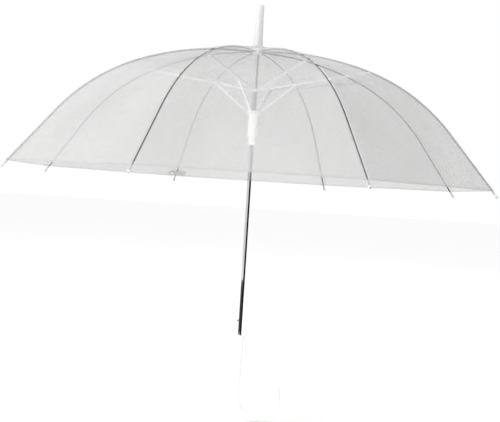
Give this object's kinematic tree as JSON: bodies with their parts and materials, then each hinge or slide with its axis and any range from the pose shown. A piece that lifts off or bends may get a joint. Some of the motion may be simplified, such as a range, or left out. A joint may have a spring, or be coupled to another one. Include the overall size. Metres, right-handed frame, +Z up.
{
  "type": "stick umbrella",
  "caption": "Stick umbrella with a clear domed film canopy on hinged ribs, a chromed shaft, a sliding runner with a spring, and a white hooked handle.",
  "frame": {"origin": "on the shaft's axis at the handle's top face", "axes": "+Z up the shaft to the ferrule, +X towards the open side of the hook"},
  "size_m": [0.9118, 0.9118, 0.8409],
  "materials": {
    "film": "gloss",
    "white_plastic": "gloss",
    "chrome": "polished",
    "rib_steel": "polished",
    "zinc_steel": "polished",
    "spring_steel": "polished",
    "strap_film": "gloss"
  },
  "bodies": {
    "frame": {"shaft": "chrome", "ferrule": "white_plastic", "crown_washer": "white_plastic", "top_notch": "white_plastic", "handle": "white_plastic"},
    "rib_inner_1": {"rib_inner_1": "rib_steel"},
    "rib_outer_1": {"rib_outer_1": "rib_steel"},
    "stretcher_1": {"stretcher_1": "zinc_steel"},
    "strut_1": {"strut_1": "zinc_steel"},
    "rib_inner_2": {"rib_inner_2": "rib_steel"},
    "rib_outer_2": {"rib_outer_2": "rib_steel"},
    "stretcher_2": {"stretcher_2": "zinc_steel"},
    "strut_2": {"strut_2": "zinc_steel"},
    "rib_inner_3": {"rib_inner_3": "rib_steel"},
    "rib_outer_3": {"rib_outer_3": "rib_steel", "tie_strap": "strap_film"},
    "stretcher_3": {"stretcher_3": "zinc_steel"},
    "strut_3": {"strut_3": "zinc_steel"},
    "rib_inner_4": {"rib_inner_4": "rib_steel"},
    "rib_outer_4": {"rib_outer_4": "rib_steel"},
    "stretcher_4": {"stretcher_4": "zinc_steel"},
    "strut_4": {"strut_4": "zinc_steel"},
    "rib_inner_5": {"rib_inner_5": "rib_steel"},
    "rib_outer_5": {"rib_outer_5": "rib_steel"},
    "stretcher_5": {"stretcher_5": "zinc_steel"},
    "strut_5": {"strut_5": "zinc_steel"},
    "rib_inner_6": {"rib_inner_6": "rib_steel"},
    "rib_outer_6": {"rib_outer_6": "rib_steel"},
    "stretcher_6": {"stretcher_6": "zinc_steel"},
    "strut_6": {"strut_6": "zinc_steel"},
    "rib_inner_7": {"rib_inner_7": "rib_steel"},
    "rib_outer_7": {"rib_outer_7": "rib_steel"},
    "stretcher_7": {"stretcher_7": "zinc_steel"},
    "strut_7": {"strut_7": "zinc_steel"},
    "rib_inner_8": {"rib_inner_8": "rib_steel"},
    "rib_outer_8": {"rib_outer_8": "rib_steel"},
    "stretcher_8": {"stretcher_8": "zinc_steel"},
    "strut_8": {"strut_8": "zinc_steel"},
    "film_inner_1": {"film_inner_1": "film"},
    "film_outer_1": {"film_outer_1": "film"},
    "film_inner_2": {"film_inner_2": "film"},
    "film_outer_2": {"film_outer_2": "film"},
    "film_inner_3": {"film_inner_3": "film"},
    "film_outer_3": {"film_outer_3": "film"},
    "film_inner_4": {"film_inner_4": "film"},
    "film_outer_4": {"film_outer_4": "film"},
    "film_inner_5": {"film_inner_5": "film"},
    "film_outer_5": {"film_outer_5": "film"},
    "film_inner_6": {"film_inner_6": "film"},
    "film_outer_6": {"film_outer_6": "film"},
    "film_inner_7": {"film_inner_7": "film"},
    "film_outer_7": {"film_outer_7": "film"},
    "film_inner_8": {"film_inner_8": "film"},
    "film_outer_8": {"film_outer_8": "film"},
    "upper_slider": {"upper_slider": "white_plastic", "main_spring": "spring_steel"},
    "runner": {"runner": "white_plastic"},
    "release_button": {"release_button": "white_plastic"},
    "catch_spring": {"catch_spring": "spring_steel"}
  },
  "joints": [
    {"name": "fold", "type": "hinge", "parent": "frame", "child": "rib_inner_1", "pos_m": [0.00647, 0.00268, 0.572], "axis": [-0.3827, 0.9239, 0], "range_deg": [0, 78], "stiffness_Nm_per_rad": 6, "springref_deg": -34.38, "deforming": ["catch_spring"]},
    {"name": "rib_flex_1", "type": "hinge", "parent": "rib_inner_1", "child": "rib_outer_1", "pos_m": [0.21896, 0.0907, 0.5335], "axis": [-0.3827, 0.9239, 0], "range_deg": [-29.47, 0]},
    {"name": "stretcher_hinge_1", "type": "hinge", "parent": "rib_inner_1", "child": "stretcher_1", "pos_m": [0.21896, 0.0907, 0.5335], "axis": [-0.3827, 0.9239, 0], "range_deg": [-156.19, 0]},
    {"name": "strut_hinge_1", "type": "hinge", "parent": "stretcher_1", "child": "strut_1", "pos_m": [0.0821, 0.03401, 0.5087], "axis": [-0.3827, 0.9239, 0], "range_deg": [0, 24.87]},
    {"name": "rib_hinge_2", "type": "hinge", "parent": "frame", "child": "rib_inner_2", "pos_m": [0.00268, 0.00647, 0.572], "axis": [-0.9239, 0.3827, 0], "range_deg": [0, 78.2]},
    {"name": "rib_flex_2", "type": "hinge", "parent": "rib_inner_2", "child": "rib_outer_2", "pos_m": [0.0907, 0.21896, 0.5335], "axis": [-0.9239, 0.3827, 0], "range_deg": [-29.47, 0]},
    {"name": "stretcher_hinge_2", "type": "hinge", "parent": "rib_inner_2", "child": "stretcher_2", "pos_m": [0.0907, 0.21896, 0.5335], "axis": [-0.9239, 0.3827, 0], "range_deg": [-156.19, 0]},
    {"name": "strut_hinge_2", "type": "hinge", "parent": "stretcher_2", "child": "strut_2", "pos_m": [0.03401, 0.0821, 0.5087], "axis": [-0.9239, 0.3827, 0], "range_deg": [0, 24.87]},
    {"name": "rib_hinge_3", "type": "hinge", "parent": "frame", "child": "rib_inner_3", "pos_m": [-0.00268, 0.00647, 0.572], "axis": [-0.9239, -0.3827, 0], "range_deg": [0, 78.2]},
    {"name": "rib_flex_3", "type": "hinge", "parent": "rib_inner_3", "child": "rib_outer_3", "pos_m": [-0.0907, 0.21896, 0.5335], "axis": [-0.9239, -0.3827, 0], "range_deg": [-29.47, 0]},
    {"name": "stretcher_hinge_3", "type": "hinge", "parent": "rib_inner_3", "child": "stretcher_3", "pos_m": [-0.0907, 0.21896, 0.5335], "axis": [-0.9239, -0.3827, 0], "range_deg": [-156.19, 0]},
    {"name": "strut_hinge_3", "type": "hinge", "parent": "stretcher_3", "child": "strut_3", "pos_m": [-0.03401, 0.0821, 0.5087], "axis": [-0.9239, -0.3827, 0], "range_deg": [0, 24.87]},
    {"name": "rib_hinge_4", "type": "hinge", "parent": "frame", "child": "rib_inner_4", "pos_m": [-0.00647, 0.00268, 0.572], "axis": [-0.3827, -0.9239, 0], "range_deg": [0, 78.2]},
    {"name": "rib_flex_4", "type": "hinge", "parent": "rib_inner_4", "child": "rib_outer_4", "pos_m": [-0.21896, 0.0907, 0.5335], "axis": [-0.3827, -0.9239, 0], "range_deg": [-29.47, 0]},
    {"name": "stretcher_hinge_4", "type": "hinge", "parent": "rib_inner_4", "child": "stretcher_4", "pos_m": [-0.21896, 0.0907, 0.5335], "axis": [-0.3827, -0.9239, 0], "range_deg": [-156.19, 0]},
    {"name": "strut_hinge_4", "type": "hinge", "parent": "stretcher_4", "child": "strut_4", "pos_m": [-0.0821, 0.03401, 0.5087], "axis": [-0.3827, -0.9239, 0], "range_deg": [0, 24.87]},
    {"name": "rib_hinge_5", "type": "hinge", "parent": "frame", "child": "rib_inner_5", "pos_m": [-0.00647, -0.00268, 0.572], "axis": [0.3827, -0.9239, 0], "range_deg": [0, 78.2]},
    {"name": "rib_flex_5", "type": "hinge", "parent": "rib_inner_5", "child": "rib_outer_5", "pos_m": [-0.21896, -0.0907, 0.5335], "axis": [0.3827, -0.9239, 0], "range_deg": [-29.47, 0]},
    {"name": "stretcher_hinge_5", "type": "hinge", "parent": "rib_inner_5", "child": "stretcher_5", "pos_m": [-0.21896, -0.0907, 0.5335], "axis": [0.3827, -0.9239, 0], "range_deg": [-156.19, 0]},
    {"name": "strut_hinge_5", "type": "hinge", "parent": "stretcher_5", "child": "strut_5", "pos_m": [-0.0821, -0.03401, 0.5087], "axis": [0.3827, -0.9239, 0], "range_deg": [0, 24.87]},
    {"name": "rib_hinge_6", "type": "hinge", "parent": "frame", "child": "rib_inner_6", "pos_m": [-0.00268, -0.00647, 0.572], "axis": [0.9239, -0.3827, 0], "range_deg": [0, 78.2]},
    {"name": "rib_flex_6", "type": "hinge", "parent": "rib_inner_6", "child": "rib_outer_6", "pos_m": [-0.0907, -0.21896, 0.5335], "axis": [0.9239, -0.3827, 0], "range_deg": [-29.47, 0]},
    {"name": "stretcher_hinge_6", "type": "hinge", "parent": "rib_inner_6", "child": "stretcher_6", "pos_m": [-0.0907, -0.21896, 0.5335], "axis": [0.9239, -0.3827, 0], "range_deg": [-156.19, 0]},
    {"name": "strut_hinge_6", "type": "hinge", "parent": "stretcher_6", "child": "strut_6", "pos_m": [-0.03401, -0.0821, 0.5087], "axis": [0.9239, -0.3827, 0], "range_deg": [0, 24.87]},
    {"name": "rib_hinge_7", "type": "hinge", "parent": "frame", "child": "rib_inner_7", "pos_m": [0.00268, -0.00647, 0.572], "axis": [0.9239, 0.3827, 0], "range_deg": [0, 78.2]},
    {"name": "rib_flex_7", "type": "hinge", "parent": "rib_inner_7", "child": "rib_outer_7", "pos_m": [0.0907, -0.21896, 0.5335], "axis": [0.9239, 0.3827, 0], "range_deg": [-29.47, 0]},
    {"name": "stretcher_hinge_7", "type": "hinge", "parent": "rib_inner_7", "child": "stretcher_7", "pos_m": [0.0907, -0.21896, 0.5335], "axis": [0.9239, 0.3827, 0], "range_deg": [-156.19, 0]},
    {"name": "strut_hinge_7", "type": "hinge", "parent": "stretcher_7", "child": "strut_7", "pos_m": [0.03401, -0.0821, 0.5087], "axis": [0.9239, 0.3827, 0], "range_deg": [0, 24.87]},
    {"name": "rib_hinge_8", "type": "hinge", "parent": "frame", "child": "rib_inner_8", "pos_m": [0.00647, -0.00268, 0.572], "axis": [0.3827, 0.9239, 0], "range_deg": [0, 78.2]},
    {"name": "rib_flex_8", "type": "hinge", "parent": "rib_inner_8", "child": "rib_outer_8", "pos_m": [0.21896, -0.0907, 0.5335], "axis": [0.3827, 0.9239, 0], "range_deg": [-29.47, 0]},
    {"name": "stretcher_hinge_8", "type": "hinge", "parent": "rib_inner_8", "child": "stretcher_8", "pos_m": [0.21896, -0.0907, 0.5335], "axis": [0.3827, 0.9239, 0], "range_deg": [-156.19, 0]},
    {"name": "strut_hinge_8", "type": "hinge", "parent": "stretcher_8", "child": "strut_8", "pos_m": [0.0821, -0.03401, 0.5087], "axis": [0.3827, 0.9239, 0], "range_deg": [0, 24.87]},
    {"name": "film_hinge_1", "type": "hinge", "parent": "frame", "child": "film_inner_1", "pos_m": [0.00457, 0.00457, 0.572], "axis": [-0.7071, 0.7071, 0], "range_deg": [0, 76.2], "deforming": ["film_inner_1"]},
    {"name": "film_fold_1", "type": "hinge", "parent": "film_inner_1", "child": "film_outer_1", "pos_m": [0.15483, 0.15483, 0.5335], "axis": [-0.7071, 0.7071, 0], "range_deg": [-29.65, 0], "deforming": ["film_outer_1"]},
    {"name": "film_hinge_2", "type": "hinge", "parent": "frame", "child": "film_inner_2", "pos_m": [0, 0.00647, 0.572], "axis": [-1, 0, 0], "range_deg": [0, 76.2], "deforming": ["film_inner_2"]},
    {"name": "film_fold_2", "type": "hinge", "parent": "film_inner_2", "child": "film_outer_2", "pos_m": [0, 0.21896, 0.5335], "axis": [-1, 0, 0], "range_deg": [-29.65, 0], "deforming": ["film_outer_2"]},
    {"name": "film_hinge_3", "type": "hinge", "parent": "frame", "child": "film_inner_3", "pos_m": [-0.00457, 0.00457, 0.572], "axis": [-0.7071, -0.7071, 0], "range_deg": [0, 76.2], "deforming": ["film_inner_3"]},
    {"name": "film_fold_3", "type": "hinge", "parent": "film_inner_3", "child": "film_outer_3", "pos_m": [-0.15483, 0.15483, 0.5335], "axis": [-0.7071, -0.7071, 0], "range_deg": [-29.65, 0], "deforming": ["film_outer_3", "tie_strap"]},
    {"name": "film_hinge_4", "type": "hinge", "parent": "frame", "child": "film_inner_4", "pos_m": [-0.00647, 0, 0.572], "axis": [0, -1, 0], "range_deg": [0, 76.2], "deforming": ["film_inner_4"]},
    {"name": "film_fold_4", "type": "hinge", "parent": "film_inner_4", "child": "film_outer_4", "pos_m": [-0.21896, 0, 0.5335], "axis": [0, -1, 0], "range_deg": [-29.65, 0], "deforming": ["film_outer_4"]},
    {"name": "film_hinge_5", "type": "hinge", "parent": "frame", "child": "film_inner_5", "pos_m": [-0.00457, -0.00457, 0.572], "axis": [0.7071, -0.7071, 0], "range_deg": [0, 76.2], "deforming": ["film_inner_5"]},
    {"name": "film_fold_5", "type": "hinge", "parent": "film_inner_5", "child": "film_outer_5", "pos_m": [-0.15483, -0.15483, 0.5335], "axis": [0.7071, -0.7071, 0], "range_deg": [-29.65, 0], "deforming": ["film_outer_5"]},
    {"name": "film_hinge_6", "type": "hinge", "parent": "frame", "child": "film_inner_6", "pos_m": [0, -0.00647, 0.572], "axis": [1, 0, 0], "range_deg": [0, 76.2], "deforming": ["film_inner_6"]},
    {"name": "film_fold_6", "type": "hinge", "parent": "film_inner_6", "child": "film_outer_6", "pos_m": [0, -0.21896, 0.5335], "axis": [1, 0, 0], "range_deg": [-29.65, 0], "deforming": ["film_outer_6"]},
    {"name": "film_hinge_7", "type": "hinge", "parent": "frame", "child": "film_inner_7", "pos_m": [0.00457, -0.00457, 0.572], "axis": [0.7071, 0.7071, 0], "range_deg": [0, 76.2], "deforming": ["film_inner_7"]},
    {"name": "film_fold_7", "type": "hinge", "parent": "film_inner_7", "child": "film_outer_7", "pos_m": [0.15483, -0.15483, 0.5335], "axis": [0.7071, 0.7071, 0], "range_deg": [-29.65, 0], "deforming": ["film_outer_7"]},
    {"name": "film_hinge_8", "type": "hinge", "parent": "frame", "child": "film_inner_8", "pos_m": [0.00647, 0, 0.572], "axis": [0, 1, 0], "range_deg": [0, 76.2], "deforming": ["film_inner_8"]},
    {"name": "film_fold_8", "type": "hinge", "parent": "film_inner_8", "child": "film_outer_8", "pos_m": [0.21896, 0, 0.5335], "axis": [0, 1, 0], "range_deg": [-29.65, 0], "deforming": ["film_outer_8"]},
    {"name": "slider_pivot", "type": "hinge", "parent": "stretcher_1", "child": "upper_slider", "pos_m": [0.00647, 0.00268, 0.495], "axis": [-0.3827, 0.9239, 0], "range_deg": [0, 78.2]},
    {"name": "runner_slide", "type": "slide", "parent": "upper_slider", "child": "runner", "axis": [0, 0, 1], "range_m": [0, 0.03111], "deforming": ["main_spring"]},
    {"name": "button_press", "type": "slide", "parent": "frame", "child": "release_button", "axis": [1, 0, 0], "range_m": [0, 0.0026], "stiffness_N_per_m": 400, "springref_m": -0.002},
    {"name": "catch_bend", "type": "hinge", "parent": "frame", "child": "catch_spring", "pos_m": [-0.0017, 0, -0.04], "axis": [0, 1, 0], "range_deg": [0, 2.96]}
  ],
  "couplings": [
    {"joint": "rib_flex_1", "follows": "fold", "ratio": -0.37531},
    {"joint": "stretcher_hinge_1", "follows": "fold", "ratio": -2},
    {"joint": "strut_hinge_1", "follows": "fold", "ratio": 0.31629},
    {"joint": "rib_hinge_2", "follows": "fold", "ratio": 1},
    {"joint": "rib_flex_2", "follows": "fold", "ratio": -0.37531},
    {"joint": "stretcher_hinge_2", "follows": "fold", "ratio": -2},
    {"joint": "strut_hinge_2", "follows": "fold", "ratio": 0.31629},
    {"joint": "rib_hinge_3", "follows": "fold", "ratio": 1},
    {"joint": "rib_flex_3", "follows": "fold", "ratio": -0.37531},
    {"joint": "stretcher_hinge_3", "follows": "fold", "ratio": -2},
    {"joint": "strut_hinge_3", "follows": "fold", "ratio": 0.31629},
    {"joint": "rib_hinge_4", "follows": "fold", "ratio": 1},
    {"joint": "rib_flex_4", "follows": "fold", "ratio": -0.37531},
    {"joint": "stretcher_hinge_4", "follows": "fold", "ratio": -2},
    {"joint": "strut_hinge_4", "follows": "fold", "ratio": 0.31629},
    {"joint": "rib_hinge_5", "follows": "fold", "ratio": 1},
    {"joint": "rib_flex_5", "follows": "fold", "ratio": -0.37531},
    {"joint": "stretcher_hinge_5", "follows": "fold", "ratio": -2},
    {"joint": "strut_hinge_5", "follows": "fold", "ratio": 0.31629},
    {"joint": "rib_hinge_6", "follows": "fold", "ratio": 1},
    {"joint": "rib_flex_6", "follows": "fold", "ratio": -0.37531},
    {"joint": "stretcher_hinge_6", "follows": "fold", "ratio": -2},
    {"joint": "strut_hinge_6", "follows": "fold", "ratio": 0.31629},
    {"joint": "rib_hinge_7", "follows": "fold", "ratio": 1},
    {"joint": "rib_flex_7", "follows": "fold", "ratio": -0.37531},
    {"joint": "stretcher_hinge_7", "follows": "fold", "ratio": -2},
    {"joint": "strut_hinge_7", "follows": "fold", "ratio": 0.31629},
    {"joint": "rib_hinge_8", "follows": "fold", "ratio": 1},
    {"joint": "rib_flex_8", "follows": "fold", "ratio": -0.37531},
    {"joint": "stretcher_hinge_8", "follows": "fold", "ratio": -2},
    {"joint": "strut_hinge_8", "follows": "fold", "ratio": 0.31629},
    {"joint": "film_hinge_1", "follows": "fold", "ratio": 0.97445},
    {"joint": "film_fold_1", "follows": "fold", "ratio": -0.37754},
    {"joint": "film_hinge_2", "follows": "fold", "ratio": 0.97445},
    {"joint": "film_fold_2", "follows": "fold", "ratio": -0.37754},
    {"joint": "film_hinge_3", "follows": "fold", "ratio": 0.97445},
    {"joint": "film_fold_3", "follows": "fold", "ratio": -0.37754},
    {"joint": "film_hinge_4", "follows": "fold", "ratio": 0.97445},
    {"joint": "film_fold_4", "follows": "fold", "ratio": -0.37754},
    {"joint": "film_hinge_5", "follows": "fold", "ratio": 0.97445},
    {"joint": "film_fold_5", "follows": "fold", "ratio": -0.37754},
    {"joint": "film_hinge_6", "follows": "fold", "ratio": 0.97445},
    {"joint": "film_fold_6", "follows": "fold", "ratio": -0.37754},
    {"joint": "film_hinge_7", "follows": "fold", "ratio": 0.97445},
    {"joint": "film_fold_7", "follows": "fold", "ratio": -0.37754},
    {"joint": "film_hinge_8", "follows": "fold", "ratio": 0.97445},
    {"joint": "film_fold_8", "follows": "fold", "ratio": -0.37754},
    {"joint": "slider_pivot", "follows": "fold", "ratio": 1},
    {"joint": "runner_slide", "follows": "fold", "m_per_rad": 0.022635},
    {"joint": "catch_bend", "follows": "button_press", "rad_per_m": 19.231}
  ]
}
